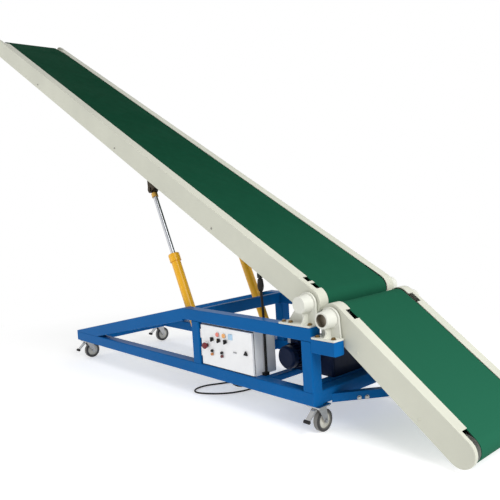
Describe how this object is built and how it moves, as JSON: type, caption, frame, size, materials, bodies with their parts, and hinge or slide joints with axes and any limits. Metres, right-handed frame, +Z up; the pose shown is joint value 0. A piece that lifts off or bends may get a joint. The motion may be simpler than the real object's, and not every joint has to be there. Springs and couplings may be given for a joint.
{
  "type": "bag loading conveyor",
  "caption": "mobile bag loading conveyor: wheeled tube chassis, long rising belt boom on lift cylinders, short sloping infeed belt and a control box",
  "frame": {"origin": "on the floor under the middle of the machine", "axes": "+X along the machine toward the infeed, +Y across it away from the control box, +Z up"},
  "size_m": [5.4259, 0.967, 3.198],
  "materials": {
    "blue_frame": "gloss blue enamel on welded tube",
    "ivory_sheet": "satin ivory powder coat",
    "green_belt": "matte green belt",
    "steel": "turned steel",
    "yellow_barrel": "gloss amber yellow enamel",
    "rod_chrome": "hard chrome",
    "white_box": "smooth white powder coat",
    "controls": "moulded black and coloured heads",
    "navy_unit": "navy enamel",
    "zinc": "bright zinc plate",
    "hub": "grey beige nylon",
    "tyre": "dark moulded tread",
    "cable": "black cable jacket",
    "black_fitting": "moulded black"
  },
  "bodies": {
    "chassis": {"base_rails": "blue_frame", "base_crossbars": "blue_frame", "posts": "blue_frame", "top_rails": "blue_frame", "top_crossbar": "blue_frame", "sloping_rails": "blue_frame", "infeed_rails": "blue_frame", "tow_frame": "blue_frame", "boom_blocks": "ivory_sheet", "infeed_blocks": "ivory_sheet", "lower_lugs": "blue_frame", "control_case": "white_box", "tank": "navy_unit", "pump_motor": "navy_unit", "valve_block": "steel", "caster_plates": "zinc", "cable_glands": "black_fitting", "boom_cable": "cable", "mains_lead": "cable", "lead_coil": "cable", "lead_plug": "black_fitting"},
    "boom": {"boom_side_panels": "ivory_sheet", "boom_belt": "green_belt", "boom_bed": "steel", "boom_drums": "steel", "boom_crossbars": "ivory_sheet", "boom_lugs": "ivory_sheet", "cable_clip": "black_fitting"},
    "infeed": {"infeed_side_panels": "ivory_sheet", "infeed_belt": "green_belt", "infeed_bed": "steel", "infeed_drums": "steel", "infeed_crossbars": "ivory_sheet"},
    "lift_barrel_near": {"barrel_near": "yellow_barrel"},
    "lift_barrel_far": {"barrel_far": "yellow_barrel"},
    "lift_rod_near": {"rod_near": "rod_chrome"},
    "lift_rod_far": {"rod_far": "rod_chrome"},
    "box_door": {"control_door": "white_box", "door_controls": "controls"},
    "caster_near_left": {"fork_near_left": "zinc"},
    "wheel_near_left": {"hub_near_left": "hub", "tyre_near_left": "tyre"},
    "caster_far_left": {"fork_far_left": "zinc"},
    "wheel_far_left": {"hub_far_left": "hub", "tyre_far_left": "tyre"},
    "caster_near_right": {"fork_near_right": "zinc"},
    "wheel_near_right": {"hub_near_right": "hub", "tyre_near_right": "tyre"},
    "caster_far_right": {"fork_far_right": "zinc"},
    "wheel_far_right": {"hub_far_right": "hub", "tyre_far_right": "tyre"}
  },
  "joints": [
    {"name": "boom_lift", "type": "hinge", "parent": "chassis", "child": "boom", "pos_m": [1.702, 0, 0.739], "axis": [0, 1, 0], "range_deg": [-20, 4], "deforming": ["boom_cable"]},
    {"name": "infeed_tilt", "type": "hinge", "parent": "chassis", "child": "infeed", "pos_m": [1.868, 0, 0.668], "axis": [0, -1, 0], "range_deg": [0, 42]},
    {"name": "door_swing", "type": "hinge", "parent": "chassis", "child": "box_door", "pos_m": [0.749, -0.429, 0.4], "axis": [0, 0, -1], "range_deg": [0, 110]},
    {"name": "barrel_swing_near", "type": "hinge", "parent": "chassis", "child": "lift_barrel_near", "pos_m": [0.619, -0.32, 0.307], "axis": [0, 1, 0], "range_deg": [-26, 6]},
    {"name": "rod_slide_near", "type": "slide", "parent": "lift_barrel_near", "child": "lift_rod_near", "axis": [-0.4008, 0, 0.9162], "range_m": [-0.41, 0.085]},
    {"name": "barrel_swing_far", "type": "hinge", "parent": "chassis", "child": "lift_barrel_far", "pos_m": [0.619, 0.32, 0.307], "axis": [0, 1, 0], "range_deg": [-26, 6]},
    {"name": "rod_slide_far", "type": "slide", "parent": "lift_barrel_far", "child": "lift_rod_far", "axis": [-0.4008, 0, 0.9162], "range_m": [-0.41, 0.085]},
    {"name": "swivel_near_left", "type": "hinge", "parent": "chassis", "child": "caster_near_left", "pos_m": [-1.051, -0.38, 0.15], "axis": [0, 0, 1], "continuous": true},
    {"name": "roll_near_left", "type": "hinge", "parent": "caster_near_left", "child": "wheel_near_left", "pos_m": [-1.051, -0.352, 0.066], "axis": [1, 0, 0], "continuous": true},
    {"name": "swivel_far_left", "type": "hinge", "parent": "chassis", "child": "caster_far_left", "pos_m": [-1.051, 0.38, 0.15], "axis": [0, 0, 1], "continuous": true},
    {"name": "roll_far_left", "type": "hinge", "parent": "caster_far_left", "child": "wheel_far_left", "pos_m": [-1.051, 0.408, 0.066], "axis": [1, 0, 0], "continuous": true},
    {"name": "swivel_near_right", "type": "hinge", "parent": "chassis", "child": "caster_near_right", "pos_m": [1.762, -0.38, 0.15], "axis": [0, 0, 1], "continuous": true},
    {"name": "roll_near_right", "type": "hinge", "parent": "caster_near_right", "child": "wheel_near_right", "pos_m": [1.762, -0.352, 0.066], "axis": [1, 0, 0], "continuous": true},
    {"name": "swivel_far_right", "type": "hinge", "parent": "chassis", "child": "caster_far_right", "pos_m": [1.762, 0.38, 0.15], "axis": [0, 0, 1], "continuous": true},
    {"name": "roll_far_right", "type": "hinge", "parent": "caster_far_right", "child": "wheel_far_right", "pos_m": [1.762, 0.408, 0.066], "axis": [1, 0, 0], "continuous": true}
  ],
  "couplings": [
    {"joint": "barrel_swing_near", "follows": "boom_lift", "ratio": 1.22},
    {"joint": "rod_slide_near", "follows": "boom_lift", "m_per_rad": 1.135},
    {"joint": "barrel_swing_far", "follows": "boom_lift", "ratio": 1.22},
    {"joint": "rod_slide_far", "follows": "boom_lift", "m_per_rad": 1.135}
  ]
}
